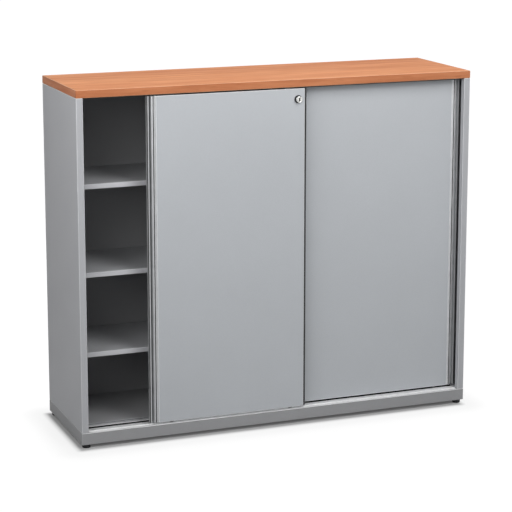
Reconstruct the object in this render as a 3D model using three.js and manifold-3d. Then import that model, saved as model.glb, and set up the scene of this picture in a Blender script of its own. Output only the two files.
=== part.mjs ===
// Sliding door cabinet: a low office cupboard of folded sheet steel with a wood-effect worktop.
// Two doors of different widths run on a double rail, one in front of the other.
// Units are millimetres. X runs along the width, Z is up, and every depth is measured back
// from the plane of the cabinet's front. The whole cabinet is centred over the origin at the end.

import * as THREE from 'three';
import { mergeVertices } from 'three/addons/utils/BufferGeometryUtils.js';
import Module from 'manifold-3d';

const wasm = await Module();
wasm.setup();

// Driving dimensions of the whole cabinet
const width = 1200;
const depth = 350;
const height = 1016;

// Clearances, and one overrun for every cut
const seatGap = 0.3;
const slideGap = 1;
const overrun = 2;

// Worktop board with its edge bands
const worktopThickness = 22;
const bandThickness = 2;

// Base frame, its raised front lip and the trough behind the lip that carries the rails
const footHeight = 11;
const baseHeight = 34;
const baseSheet = 1.5;
const baseLip = 3;
const baseFlange = 25;
const troughDrop = 6;

// Side panels: folded skin with a flange round the front, top, bottom and rear edges
const sideSheet = 1.2;
const sideFlange = 20;
const sideReturn = 17;

// Panels between the sides
const panelSheet = 1.2;
const backRecess = 14;
const floorRise = 6;
const floorFrontGap = 7;
const topPanelDrop = 8;

// Doors: folded trays with an extruded grip profile on one edge
const doorSheet = 1;
const doorThickness = 20;
const doorLip = 14;
const doorBottomGap = 5.5;
const doorTopGap = 4.5;
const frontDoorSetback = 4;
const doorSpacing = 34;
const frontDoorWidth = 470;
const openBay = 185;
const doorOverlap = 32;
const rearDoorTuck = 5;
const stiffenerWidth = 40;
const stiffenerEndGap = 24;

// Grip profile, across its width from the door's outer edge and into its thickness
const gripWidth = 24;
const gripLipWidth = 3.6;
const gripGrooveWidth = 4.4;
const gripGrooveDepth = 12;
const gripShoulderWidth = 6.3;
const gripShoulderStep = 0.3;
const gripShoulderSteps = 8;
const gripFlatWidth = 1;
const gripSlotWidth = 2.6;
const gripSlotDepth = 4;
const gripSealStart = 2;
const gripSealWidth = 9;
const gripSealDepth = 2;
const gripWall = 2;

// Rubber buffer along the front door's right edge
const bufferWidth = 5.5;
const bufferSetback = 1.5;
const bufferThickness = 12.5;

// Rails, rollers and their carriages
const railSheet = 1.2;
const railWidth = 2.4;
const railRise = 2.5;
const railTableDrop = 0.3;
const railGrooveWidth = 6;
const rollerTread = 8;
const rollerFlange = 10;
const rollerWidth = 9;
const rollerGroove = 3.6;
const rollerBore = 2.2;
const rollerSteps = 32;
const axleRadius = 2;
const carriageInset = 40;
const carriageLength = 44;
const carriageHeight = 22;
const pocketClear = 1.5;

// Guide channel let into the worktop, and the guide blocks that run in it
const channelDepth = 12;
const channelHang = 3;
const channelSlotWidth = 8;
const channelSlotDepth = 10;
const channelMargin = 5;
const guideFinWidth = 6;
const guideFinLength = 30;
const guideFinReach = 7;
const guideBlockHeight = 14;

// Shelves, slotted uprights and clips
const shelfShares = [0.2265, 0.4757, 0.7476];
const shelfNames = ['lower', 'middle', 'upper'];
const shelfEdge = 14;
const shelfSheet = 1;
const shelfSetback = 62;
const shelfBackGap = 2;
const uprightWidth = 25;
const uprightDepth = 12;
const uprightInset = 23;
const slotPitch = 21;
const slotHeight = 9;
const slotWidth = 5;
const slotEndSkip = 3;
const clipSheet = 1.5;
const clipWidth = 14;
const clipLedge = 10;
const clipDrop = 6;
const clipRise = 8;
const clipHook = 3;
const clipTongueGap = 0.4;

// Push lock
const lockInset = 21;
const lockDrop = 30.5;
const lockReach = 8;
const lockTravel = 9.5;
const plungerRadius = 8.8;
const housingRadius = 10.3;
const housingFlangeRadius = 11.5;
const housingFlangeThickness = 1.7;
const housingWall = 2;
const boltRadius = 5;
const boltBehindDoor = 2;
const coreRadius = 6;
const coreLength = 15;
const keywayWidth = 3.6;
const keywayHeight = 9.4;
const keywayDepth = 11;
const nutRadius = 13.5;
const nutThickness = 4;
const lockSteps = 40;
const keeperPlate = 1.2;
const keeperHeight = 28;
const keeperLugWidth = 8;
const keeperLugHeight = 14;
const keeperLugReach = 6.2;
const keeperBoltGap = 1.5;

// Levelling feet
const footRadius = 12;
const footChamfer = 1.5;
const footInsetX = 16;
const footInsetY = 15;
const studRadius = 3.9;
const studLength = 20;
const bossRadius = 8;
const bossHeight = 14;
const bossPlate = 3;
const bossPlateSize = 45;
const footSteps = 32;

// Levels and planes that several pieces share
const baseTop = footHeight + baseHeight;
const bodyTop = height - worktopThickness;
const troughTop = baseTop - troughDrop;
const floorTop = baseTop + floorRise;
const floorFront = frontDoorSetback + doorSpacing + doorThickness + floorFrontGap;
const ceiling = bodyTop - topPanelDrop;
const backFace = depth - backRecess;
const doorBottom = baseTop + doorBottomGap;
const doorTop = bodyTop - doorTopGap;
const halfWidth = width / 2;
const doorway = halfWidth - sideFlange;
const insideHalf = halfWidth - sideSheet - seatGap;
const railTop = baseTop + railRise;
const rollerHeight = railTop + rollerTread + seatGap;
const centreShift = (depth - lockReach) / 2;

// Places of the two doors along the width, with the front door pushed partly open
const frontDoor = { left: openBay - doorway, setback: frontDoorSetback };
frontDoor.right = frontDoor.left + frontDoorWidth;
const rearDoor = { right: doorway + rearDoorTuck, setback: frontDoorSetback + doorSpacing };
rearDoor.left = frontDoorWidth - doorway - doorOverlap;
const lockX = frontDoor.right - lockInset;
const lockZ = doorTop - lockDrop;

function finish(color, roughness, metalness) {
  return new THREE.MeshStandardMaterial({ color, roughness, metalness });
}

const silverPaint = () => finish('#b4b7ba', 0.45, 0.1);
const woodEffect = () => finish('#dca074', 0.5, 0);
const woodBand = () => finish('#c6825d', 0.5, 0);
const railMetal = () => finish('#b9bcbf', 0.35, 0.7);
const gripMetal = () => finish('#aeb2b6', 0.3, 0.8);
const blackPlastic = () => finish('#1c1d1f', 0.55, 0);
const blackRubber = () => finish('#161617', 0.75, 0);
const greyPlastic = () => finish('#8b8d90', 0.5, 0);
const zinc = () => finish('#9fa3a6', 0.35, 0.8);
const chrome = () => finish('#dcdcdc', 0.15, 1);

// A closed geometry as a solid that can be cut and joined
function solid(geometry) {
  const bare = geometry.clone();
  bare.deleteAttribute('normal');
  bare.deleteAttribute('uv');
  const merged = mergeVertices(bare);
  const vertProperties = new Float32Array(merged.attributes.position.array);
  const triVerts = new Uint32Array(merged.index.array);
  return new wasm.Manifold(new wasm.Mesh({ numProp: 3, vertProperties, triVerts }));
}

// A solid back as a geometry with flat faces
function skin(manifold) {
  const mesh = manifold.getMesh();
  const geometry = new THREE.BufferGeometry();
  geometry.setAttribute('position', new THREE.BufferAttribute(mesh.vertProperties, mesh.numProp));
  geometry.setIndex(new THREE.BufferAttribute(mesh.triVerts, 1));
  geometry.computeVertexNormals();
  return geometry;
}

// A block between two places along each axis: each corner of a unit box is put on its exact place,
// so that blocks that share a plane share it to the last digit
function block([x0, x1], [y0, y1], [z0, z1]) {
  const geometry = new THREE.BoxGeometry(1, 1, 1);
  const corners = geometry.attributes.position;
  for (let index = 0; index < corners.count; index += 1) {
    corners.setXYZ(
      index,
      corners.getX(index) < 0 ? x0 : x1,
      corners.getY(index) < 0 ? y0 : y1,
      corners.getZ(index) < 0 ? z0 : z1,
    );
  }
  return solid(geometry);
}

function join(...solids) {
  return solids.reduce((whole, next) => whole.add(next));
}

// The stretch from one place to another on the left or the right side of the middle
function onSide(side, outer, inner) {
  return side < 0 ? [-outer, -inner] : [inner, outer];
}

function around(centre, size) {
  return [centre - size / 2, centre + size / 2];
}

// A turned solid from a closed outline of radius and height, standing up along Z
function turned(outline, steps) {
  const points = outline.map(([radius, z]) => new THREE.Vector2(radius, z));
  const geometry = new THREE.LatheGeometry(points, steps);
  geometry.rotateX(Math.PI / 2);
  return solid(geometry);
}

// The same, but turned about an axis that runs from the front towards the back
function turnedBack(outline, steps, x, z) {
  const points = outline.map(([radius, y]) => new THREE.Vector2(radius, y));
  const geometry = new THREE.LatheGeometry(points, steps);
  geometry.translate(x, 0, z);
  return solid(geometry);
}

const pieces = [];

function piece(name, geometry, material) {
  const mesh = new THREE.Mesh(geometry, material);
  mesh.name = name;
  pieces.push(mesh);
}

// Worktop: the board is routed from below for the guide channel and banded on its four edges
function worktop() {
  const inX = [bandThickness - halfWidth, halfWidth - bandThickness];
  const inY = [bandThickness, depth - bandThickness];
  const inZ = [bodyTop, height];
  const rout = block(
    [-doorway, doorway],
    [channelMargin - seatGap, channelBack() + seatGap],
    [bodyTop - overrun, bodyTop + channelDepth + seatGap],
  );
  piece('worktop_board', skin(block(inX, inY, inZ).subtract(rout)), woodEffect());
  const across = [-halfWidth, halfWidth];
  piece('worktop_edge_front', skin(block(across, [0, bandThickness], inZ)), woodBand());
  piece('worktop_edge_back', skin(block(across, [depth - bandThickness, depth], inZ)), woodBand());
  for (const [side, name] of [[-1, 'left'], [1, 'right']]) {
    const band = block(onSide(side, halfWidth, halfWidth - bandThickness), inY, inZ);
    piece(`worktop_edge_${name}`, skin(band), woodBand());
  }
}

// Depth of each door's middle plane, where its rail, its rollers and its guides are
function doorMiddle(door) {
  return door.setback + doorThickness / 2;
}

function channelBack() {
  return doorMiddle(rearDoor) + channelSlotWidth / 2 + channelMargin;
}

// Guide channel: one strip with a slot over each door, hanging a little below the worktop
function guideChannel() {
  const reach = doorway - seatGap;
  const low = bodyTop - channelHang;
  let strip = block([-reach, reach], [channelMargin, channelBack()], [low, bodyTop + channelDepth]);
  for (const door of [frontDoor, rearDoor]) {
    const slot = block(
      [-halfWidth, halfWidth],
      around(doorMiddle(door), channelSlotWidth),
      [low - overrun, bodyTop + channelSlotDepth],
    );
    strip = strip.subtract(slot);
  }
  piece('guide_channel', skin(strip), blackPlastic());
}

// Bottom rail: one extruded strip in the base's trough. Its table is almost level with the base's lip,
// an upright rail stands on it under each door, and a groove runs along the front of the rear rail.
// A tunnel on each side of the groove keeps its walls thin.
function bottomRail() {
  const reach = doorway - seatGap;
  const along = [-reach, reach];
  const through = [-halfWidth, halfWidth];
  const under = troughTop + seatGap;
  const table = baseTop - railTableDrop;
  const front = baseLip + seatGap;
  const back = floorFront - seatGap;
  const grooveBack = doorMiddle(rearDoor) - railWidth / 2;
  const grooveFront = grooveBack - railGrooveWidth;
  const tunnelLevel = [under + railSheet, table - railSheet];
  let strip = block(along, [front, back], [under, table])
    .subtract(block(through, [grooveFront, grooveBack], [under + railSheet, table + overrun]))
    .subtract(block(through, [front + railSheet, grooveFront - railSheet], tunnelLevel))
    .subtract(block(through, [grooveBack + railSheet, back - railSheet], tunnelLevel));
  for (const door of [frontDoor, rearDoor]) {
    strip = strip.add(block(along, around(doorMiddle(door), railWidth), [table - railSheet, railTop]));
  }
  piece('bottom_rail', skin(strip), railMetal());
}

// Side panel: the skin with its flanges, and the return that closes the front flange
function sidePanel(side, name) {
  const level = [baseTop, bodyTop];
  const flange = onSide(side, halfWidth, doorway);
  const panel = join(
    block(onSide(side, halfWidth, halfWidth - sideSheet), [0, depth], level),
    block(flange, [0, sideSheet], level),
    block(flange, [depth - sideSheet, depth], level),
    block(flange, [0, depth], [baseTop, baseTop + sideSheet]),
    block(flange, [0, depth], [bodyTop - sideSheet, bodyTop]),
    block(onSide(side, doorway + sideSheet, doorway), [0, sideReturn], level),
  );
  piece(`${name}_side_panel`, skin(panel), silverPaint());
}

// Back panel: a shallow tray between the rear flanges, open to the back
function backPanel() {
  const reach = doorway - seatGap;
  const low = baseTop + sideSheet + seatGap;
  const high = bodyTop - sideSheet - seatGap;
  const outer = block([-reach, reach], [backFace, depth], [low, high]);
  const hollow = block(
    [panelSheet - reach, reach - panelSheet],
    [backFace + panelSheet, depth + overrun],
    [low + panelSheet, high - panelSheet],
  );
  piece('back_panel', skin(outer.subtract(hollow)), silverPaint());
}

// Floor panel: folded down along its front onto the step behind the trough, and along its other edges
// onto the side panels' flanges
function floorPanel() {
  const back = backFace - seatGap;
  const onFlange = baseTop + sideSheet + seatGap;
  const sheet = block([-insideHalf, insideHalf], [floorFront, back], [floorTop - panelSheet, floorTop]);
  const reach = doorway - seatGap;
  const front = block(
    [-reach, reach],
    [floorFront, floorFront + panelSheet],
    [baseTop + seatGap, floorTop],
  );
  const rear = block([-insideHalf, insideHalf], [back - panelSheet, back], [onFlange, floorTop]);
  const sides = [-1, 1].map((side) =>
    block(onSide(side, insideHalf, insideHalf - panelSheet), [floorFront, back], [onFlange, floorTop]));
  piece('floor_panel', skin(join(sheet, front, rear, ...sides)), silverPaint());
}

// Top panel: a tray under the worktop, folded up to the side panels' top flanges
function topPanel() {
  const back = backFace - seatGap;
  const high = bodyTop - sideSheet - seatGap;
  const outer = block([-insideHalf, insideHalf], [floorFront, back], [ceiling, high]);
  const hollow = block(
    [panelSheet - insideHalf, insideHalf - panelSheet],
    [floorFront + panelSheet, back - panelSheet],
    [ceiling + panelSheet, high + overrun],
  );
  piece('top_panel', skin(outer.subtract(hollow)), silverPaint());
}

// Base frame: a folded ring, with a lip and a trough along its front, a step up behind the trough for
// the floor panel, and a threaded boss in each corner
function baseFrame() {
  const across = [-halfWidth, halfWidth];
  const inX = [baseSheet - halfWidth, halfWidth - baseSheet];
  const level = [footHeight, baseTop];
  const ring = block(across, [0, depth], level).subtract(
    block(inX, [baseSheet, depth - baseSheet], [footHeight - overrun, baseTop + overrun]),
  );
  const bottomFlange = block(across, [0, depth], [footHeight, footHeight + baseSheet]).subtract(
    block(
      [baseFlange - halfWidth, halfWidth - baseFlange],
      [baseFlange, depth - baseFlange],
      [0, baseTop],
    ),
  );
  const lip = block(across, [0, baseLip], [troughTop - baseSheet, baseTop]);
  const trough = block(inX, [0, floorFront + baseLip], [troughTop - baseSheet, troughTop]);
  const step = block(inX, [floorFront, floorFront + baseSheet], [troughTop - baseSheet, baseTop]);
  const rearFlange = block(across, [depth - baseFlange, depth], [baseTop - baseSheet, baseTop]);
  const sideFlanges = [-1, 1].map((side) =>
    block(onSide(side, halfWidth, doorway), [0, depth], [baseTop - baseSheet, baseTop]));
  let frame = join(ring, bottomFlange, lip, trough, step, rearFlange, ...sideFlanges);
  for (const { x, y, side, row } of footPlaces()) {
    const plate = block(
      onSide(side, halfWidth, halfWidth - bossPlateSize),
      row < 0 ? [0, bossPlateSize] : [depth - bossPlateSize, depth],
      [footHeight, footHeight + bossPlate],
    );
    const boss = turned([[0, 0], [bossRadius, 0], [bossRadius, bossHeight], [0, bossHeight]], footSteps);
    const bore = studRadius + seatGap;
    const hole = turned(
      [[0, -overrun], [bore, -overrun], [bore, bossHeight + overrun], [0, bossHeight + overrun]],
      footSteps,
    );
    frame = join(frame, plate, boss.translate([x, y, footHeight]));
    frame = frame.subtract(hole.translate([x, y, footHeight]));
  }
  piece('base_frame', skin(frame), silverPaint());
}

function footPlaces() {
  const places = [];
  for (const [row, rowName] of [[-1, 'front'], [1, 'rear']]) {
    for (const [side, sideName] of [[-1, 'left'], [1, 'right']]) {
      places.push({
        side,
        row,
        x: side * (halfWidth - footInsetX),
        y: row < 0 ? footInsetY : depth - footInsetY,
        name: `foot_${rowName}_${sideName}`,
      });
    }
  }
  return places;
}

// Levelling foot: a moulded pad on its threaded stud
function feet() {
  const padTop = footHeight - seatGap;
  const outline = [
    [0, 0],
    [footRadius - footChamfer, 0],
    [footRadius, footChamfer],
    [footRadius, padTop],
    [studRadius, padTop],
    [studRadius, padTop + studLength],
    [0, padTop + studLength],
  ];
  for (const { x, y, name } of footPlaces()) {
    piece(name, skin(turned(outline, footSteps).translate([x, y, 0])), blackPlastic());
  }
}

// Slots along the uprights stand at one pitch from the floor, so the shelves sit at whole slots
const shelfRoom = ceiling - floorTop;
const shelfTops = shelfShares.map(
  (share) => floorTop + slotPitch * Math.round((share * shelfRoom) / slotPitch));
const slotPhase = floorTop - shelfEdge - seatGap - clipDrop;
const uprightFace = insideHalf - uprightDepth;
const uprightRows = [
  ['front', shelfSetback + uprightInset],
  ['rear', backFace - shelfBackGap - uprightInset - seatGap],
];

// Slotted upright: a channel against the side panel with its web facing the shelves
function upright(side, sideName, rowName, y) {
  const low = floorTop + seatGap;
  const high = ceiling - seatGap;
  let channel = block(onSide(side, insideHalf, uprightFace), around(y, uprightWidth), [low, high]);
  const hollow = block(
    onSide(side, insideHalf + overrun, uprightFace + panelSheet),
    around(y, uprightWidth - panelSheet - panelSheet),
    [low - overrun, high + overrun],
  );
  channel = channel.subtract(hollow);
  const slotCount = Math.floor((high - slotPhase) / slotPitch) - slotEndSkip;
  for (let step = slotEndSkip; step <= slotCount; step += 1) {
    const slot = block(
      onSide(side, uprightFace + panelSheet + slideGap, uprightFace - slideGap),
      around(y, slotWidth),
      around(slotPhase + step * slotPitch, slotHeight),
    );
    channel = channel.subtract(slot);
  }
  piece(`upright_${rowName}_${sideName}`, skin(channel), zinc());
}

// Shelf clip: a plate on the upright with a hook through a slot and a ledge under the shelf
function clip(side, name, y, shelfTop) {
  const plateBack = uprightFace - seatGap;
  const plateFront = plateBack - clipSheet;
  const ledgeTop = shelfTop - shelfEdge - seatGap;
  const slotCentre = ledgeTop - clipDrop;
  const tongueHeight = slotHeight - clipTongueGap - clipTongueGap;
  const hookFront = uprightFace + panelSheet + seatGap;
  const hookBack = hookFront + clipSheet;
  const tongue = around(y, slotWidth - clipTongueGap - clipTongueGap);
  const hooked = join(
    block(onSide(side, plateBack, plateFront), around(y, clipWidth),
      [slotCentre - clipDrop, ledgeTop + clipRise]),
    block(onSide(side, plateBack, plateFront - clipLedge), around(y, clipWidth),
      [ledgeTop - clipSheet, ledgeTop]),
    block(onSide(side, hookBack, plateFront), tongue, around(slotCentre, tongueHeight)),
    block(onSide(side, hookBack, hookFront), tongue,
      [slotCentre - tongueHeight / 2 - clipHook, slotCentre]),
  );
  piece(name, skin(hooked), zinc());
}

// Shelf: a tray turned over, with its edges folded down
function shelf(name, top) {
  const reach = uprightFace - seatGap - clipSheet - seatGap;
  const span = [shelfSetback, backFace - shelfBackGap];
  const outer = block([-reach, reach], span, [top - shelfEdge, top]);
  const hollow = block(
    [shelfSheet - reach, reach - shelfSheet],
    [span[0] + shelfSheet, span[1] - shelfSheet],
    [top - shelfEdge - overrun, top - shelfSheet],
  );
  piece(`shelf_${name}`, skin(outer.subtract(hollow)), silverPaint());
}

function shelving() {
  for (const [side, sideName] of [[-1, 'left'], [1, 'right']]) {
    for (const [rowName, y] of uprightRows) {
      upright(side, sideName, rowName, y);
      shelfTops.forEach((top, index) => {
        clip(side, `clip_${shelfNames[index]}_${rowName}_${sideName}`, y, top);
      });
    }
  }
  shelfTops.forEach((top, index) => shelf(shelfNames[index], top));
}

// Grip profile: its outline runs across the door's thickness, from the outer edge inwards. Behind the
// lip is a deep groove for the fingertips, whose inner side is a round shoulder up to a narrow slot.
function gripProfile(door, gripSide) {
  const grooveStart = gripLipWidth;
  const grooveEnd = grooveStart + gripGrooveWidth;
  const shoulderEnd = grooveEnd + gripShoulderWidth;
  const slotStart = shoulderEnd + gripFlatWidth;
  const slotEnd = slotStart + gripSlotWidth;
  const sealEnd = gripSealStart + gripSealWidth;
  const shoulder = [];
  for (let step = 0; step <= gripShoulderSteps; step += 1) {
    const turn = (Math.PI / 2) * (step / gripShoulderSteps);
    shoulder.push([
      shoulderEnd - gripShoulderWidth * Math.cos(turn),
      gripGrooveDepth - (gripGrooveDepth - gripShoulderStep) * Math.sin(turn),
    ]);
  }
  const outline = [
    [0, 0],
    [grooveStart, 0],
    [grooveStart, gripGrooveDepth],
    ...shoulder,
    [slotStart, gripShoulderStep],
    [slotStart, gripSlotDepth],
    [slotEnd, gripSlotDepth],
    [slotEnd, 0],
    [gripWidth, 0],
    [gripWidth, doorThickness],
    [0, doorThickness],
    [0, sealEnd],
    [gripSealDepth, sealEnd],
    [gripSealDepth, gripSealStart],
    [0, gripSealStart],
  ];
  const outerEdge = gripSide < 0 ? door.left : door.right;
  const toPlan = ([u, v]) => new THREE.Vector2(outerEdge - gripSide * u, door.setback + v);
  const inOrder = (points) => (gripSide < 0 ? points.map(toPlan) : points.map(toPlan).reverse());
  const shape = new THREE.Shape(inOrder(outline));
  const boreStart = grooveEnd + 2 * gripWall;
  const bore = [
    [boreStart, gripSlotDepth + gripWall],
    [gripWidth - gripWall, gripSlotDepth + gripWall],
    [gripWidth - gripWall, doorThickness - gripWall],
    [boreStart, doorThickness - gripWall],
  ];
  shape.holes.push(new THREE.Path(inOrder(bore)));
  const geometry = new THREE.ExtrudeGeometry(shape, { depth: doorTop - doorBottom, bevelEnabled: false });
  geometry.translate(0, 0, doorBottom);
  return solid(geometry);
}

// Buffer: a rubber strip along the front door's right edge, which meets the cabinet's right side
function buffer() {
  const start = frontDoor.right + seatGap;
  const front = frontDoor.setback + bufferSetback;
  const strip = block([start, start + bufferWidth], [front, front + bufferThickness], [doorBottom, doorTop]);
  piece('front_door_buffer', skin(strip), blackRubber());
}

// Door panel: a folded tray, open to the back, with slots for its rollers and guide fins
function doorPanel(door, span, carriages) {
  const planes = [door.setback, door.setback + doorThickness];
  const outer = block(span, planes, [doorBottom, doorTop]);
  const hollow = block(
    [span[0] + doorSheet, span[1] - doorSheet],
    [planes[0] + doorSheet, planes[1] - doorSheet],
    [doorBottom + doorSheet, doorTop - doorSheet],
  );
  const opening = block(
    [span[0] + doorLip, span[1] - doorLip],
    [planes[1] - doorSheet - doorSheet, planes[1] + overrun],
    [doorBottom + doorLip, doorTop - doorLip],
  );
  let panel = outer.subtract(hollow).subtract(opening);
  const middle = doorMiddle(door);
  for (const x of carriages) {
    const rollerSlot = block(
      around(x, 2 * (rollerFlange + pocketClear)),
      around(middle, rollerWidth + pocketClear),
      around(doorBottom, doorLip),
    );
    const finSlot = block(
      around(x, guideFinLength + slideGap),
      around(middle, guideFinWidth + slideGap),
      around(doorTop, doorLip),
    );
    panel = panel.subtract(rollerSlot).subtract(finSlot);
  }
  return panel;
}

// Stiffener: a folded channel up the middle of the tray, between its front and its rear plane
function stiffener(door, span) {
  const centre = (span[0] + span[1]) / 2;
  const front = door.setback + doorSheet + seatGap;
  const back = door.setback + doorThickness;
  const level = [doorBottom + stiffenerEndGap, doorTop - stiffenerEndGap];
  const outer = block(around(centre, stiffenerWidth), [front, back], level);
  const hollow = block(
    around(centre, stiffenerWidth - doorSheet - doorSheet),
    [front + doorSheet, back + overrun],
    [level[0] - overrun, level[1] + overrun],
  );
  return outer.subtract(hollow);
}

// Carriage: a moulded block on the tray's bottom fold, with a pocket and the pin for its roller
function carriage(door, x) {
  const middle = doorMiddle(door);
  const across = [
    door.setback + doorSheet + seatGap,
    door.setback + doorThickness - doorSheet - seatGap,
  ];
  const low = doorBottom + doorSheet + seatGap;
  const body = block(around(x, carriageLength), across, [low, low + carriageHeight]);
  const pocket = block(
    around(x, 2 * (rollerFlange + pocketClear)),
    around(middle, rollerWidth + slideGap),
    [low - overrun, rollerHeight + rollerFlange + pocketClear],
  );
  const pin = turnedBack(
    [[0, across[0]], [axleRadius, across[0]], [axleRadius, across[1]], [0, across[1]]],
    rollerSteps, x, rollerHeight,
  );
  return body.subtract(pocket).add(pin);
}

// Roller: a grooved wheel whose groove runs over the rail
function roller(door, x) {
  const front = doorMiddle(door) - rollerWidth / 2;
  const grooveFront = doorMiddle(door) - rollerGroove / 2;
  const outline = [
    [rollerBore, front],
    [rollerFlange, front],
    [rollerFlange, grooveFront],
    [rollerTread, grooveFront],
    [rollerTread, grooveFront + rollerGroove],
    [rollerFlange, grooveFront + rollerGroove],
    [rollerFlange, front + rollerWidth],
    [rollerBore, front + rollerWidth],
    [rollerBore, front],
  ];
  return turnedBack(outline, rollerSteps, x, rollerHeight);
}

// Guide block: sits under the tray's top fold and reaches up into the channel with its fin
function guide(door, x) {
  const middle = doorMiddle(door);
  const under = doorTop - doorSheet - seatGap;
  const across = doorThickness - 2 * (doorSheet + seatGap);
  return join(
    block(around(x, carriageLength), around(middle, across), [under - guideBlockHeight, under]),
    block(around(x, guideFinLength), around(middle, guideFinWidth), [under - overrun, bodyTop + guideFinReach]),
  );
}

function door(name, place, gripSide, lockHole) {
  const span = gripSide < 0
    ? [place.left + gripWidth, place.right]
    : [place.left, place.right - gripWidth];
  const carriages = [
    ['left', span[0] + carriageInset],
    ['right', span[1] - carriageInset],
  ];
  let panel = doorPanel(place, span, carriages.map(([, x]) => x));
  if (lockHole) panel = panel.subtract(lockHole);
  piece(`${name}_panel`, skin(panel), silverPaint());
  piece(`${name}_grip`, skin(gripProfile(place, gripSide)), gripMetal());
  piece(`${name}_stiffener`, skin(stiffener(place, span)), zinc());
  for (const [sideName, x] of carriages) {
    piece(`${name}_guide_${sideName}`, skin(guide(place, x)), greyPlastic());
    piece(`${name}_carriage_${sideName}`, skin(carriage(place, x)), greyPlastic());
    piece(`${name}_roller_${sideName}`, skin(roller(place, x)), blackPlastic());
  }
}

// Push lock: planes along its axis, measured back from the cabinet's front
const lockFront = -lockReach;
const doorFront = frontDoorSetback;
const housingBack = frontDoorSetback + doorThickness - doorSheet - seatGap;
const housingFloor = housingBack - housingWall;
const headBack = housingFloor - lockTravel - seatGap;
const boltBack = frontDoorSetback + doorThickness + boltBehindDoor;

function lockHousing() {
  const flangeBack = doorFront - seatGap;
  const bore = plungerRadius + seatGap;
  const outline = [
    [bore, flangeBack - housingFlangeThickness],
    [housingFlangeRadius, flangeBack - housingFlangeThickness],
    [housingFlangeRadius, flangeBack],
    [housingRadius, flangeBack],
    [housingRadius, housingBack],
    [boltRadius + seatGap, housingBack],
    [boltRadius + seatGap, housingFloor],
    [bore, housingFloor],
    [bore, flangeBack - housingFlangeThickness],
  ];
  piece('lock_housing', skin(turnedBack(outline, lockSteps, lockX, lockZ)), blackPlastic());
}

function lockNut() {
  const front = doorFront + doorSheet + seatGap;
  const inner = housingRadius + seatGap;
  const outline = [
    [inner, front],
    [nutRadius, front],
    [nutRadius, front + nutThickness],
    [inner, front + nutThickness],
    [inner, front],
  ];
  piece('lock_nut', skin(turnedBack(outline, lockSteps, lockX, lockZ)), zinc());
}

function lockPlunger() {
  const socket = coreRadius + seatGap;
  const outline = [
    [0, lockFront + coreLength + seatGap],
    [socket, lockFront + coreLength + seatGap],
    [socket, lockFront],
    [plungerRadius, lockFront],
    [plungerRadius, headBack],
    [boltRadius, headBack],
    [boltRadius, boltBack],
    [0, boltBack],
  ];
  piece('lock_plunger', skin(turnedBack(outline, lockSteps, lockX, lockZ)), chrome());
}

function lockCore() {
  const back = lockFront + coreLength;
  const outline = [[0, lockFront], [coreRadius, lockFront], [coreRadius, back], [0, back]];
  const keyway = block(
    around(lockX, keywayWidth),
    [lockFront - overrun, lockFront + keywayDepth],
    around(lockZ, keywayHeight),
  );
  const core = turnedBack(outline, lockSteps, lockX, lockZ).subtract(keyway);
  piece('lock_core', skin(core), chrome());
}

// Keeper: a plate on the rear door with a lug that stops the bolt when both doors are shut
function lockKeeper() {
  const shutShift = -doorway - frontDoor.left;
  const boltX = lockX + shutShift;
  const lugX = boltX + boltRadius + keeperBoltGap + keeperLugWidth / 2;
  const plateBack = rearDoor.setback - seatGap;
  const plateFront = plateBack - keeperPlate;
  const keeper = join(
    block([lugX - keeperLugWidth / 2, lugX + keeperLugWidth], [plateFront, plateBack],
      around(lockZ, keeperHeight)),
    block(around(lugX, keeperLugWidth), [plateFront - keeperLugReach, plateBack],
      around(lockZ, keeperLugHeight)),
  );
  piece('lock_keeper', skin(keeper), zinc());
}

function lock() {
  lockHousing();
  lockNut();
  lockPlunger();
  lockCore();
  lockKeeper();
}

function lockHole() {
  const radius = housingRadius + seatGap;
  const front = doorFront - overrun;
  const back = doorFront + doorSheet + overrun;
  return turnedBack([[0, front], [radius, front], [radius, back], [0, back]], lockSteps, lockX, lockZ);
}

worktop();
guideChannel();
bottomRail();
sidePanel(-1, 'left');
sidePanel(1, 'right');
backPanel();
floorPanel();
topPanel();
baseFrame();
feet();
shelving();
door('front_door', frontDoor, -1, lockHole());
door('rear_door', rearDoor, 1, null);
buffer();
lock();

const cabinet = new THREE.Group();
cabinet.add(...pieces);
cabinet.position.y = -centreShift;

export default cabinet;
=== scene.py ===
import math

import bmesh
import bpy
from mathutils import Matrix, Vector
from mathutils.bvhtree import BVHTree


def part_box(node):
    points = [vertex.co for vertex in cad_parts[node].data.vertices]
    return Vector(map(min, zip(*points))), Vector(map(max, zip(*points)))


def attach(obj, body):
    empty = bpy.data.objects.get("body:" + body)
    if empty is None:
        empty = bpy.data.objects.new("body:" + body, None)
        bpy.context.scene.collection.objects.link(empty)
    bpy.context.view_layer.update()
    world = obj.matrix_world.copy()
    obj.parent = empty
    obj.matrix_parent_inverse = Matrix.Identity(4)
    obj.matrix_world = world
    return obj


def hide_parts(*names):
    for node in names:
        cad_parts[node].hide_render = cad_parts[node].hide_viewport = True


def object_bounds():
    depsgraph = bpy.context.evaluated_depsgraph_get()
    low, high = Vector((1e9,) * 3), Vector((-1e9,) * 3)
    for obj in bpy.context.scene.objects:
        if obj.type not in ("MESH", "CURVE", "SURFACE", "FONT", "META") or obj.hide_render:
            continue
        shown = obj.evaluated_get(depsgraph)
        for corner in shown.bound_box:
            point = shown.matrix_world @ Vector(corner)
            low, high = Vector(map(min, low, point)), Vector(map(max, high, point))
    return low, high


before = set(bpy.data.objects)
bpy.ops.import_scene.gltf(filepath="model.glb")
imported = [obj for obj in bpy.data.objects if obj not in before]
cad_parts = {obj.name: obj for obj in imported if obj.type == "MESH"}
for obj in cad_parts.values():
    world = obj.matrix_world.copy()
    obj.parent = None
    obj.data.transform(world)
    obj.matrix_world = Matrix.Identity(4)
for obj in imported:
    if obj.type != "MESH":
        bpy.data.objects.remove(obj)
cad_low, cad_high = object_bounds()
scene = bpy.context.scene
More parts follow.
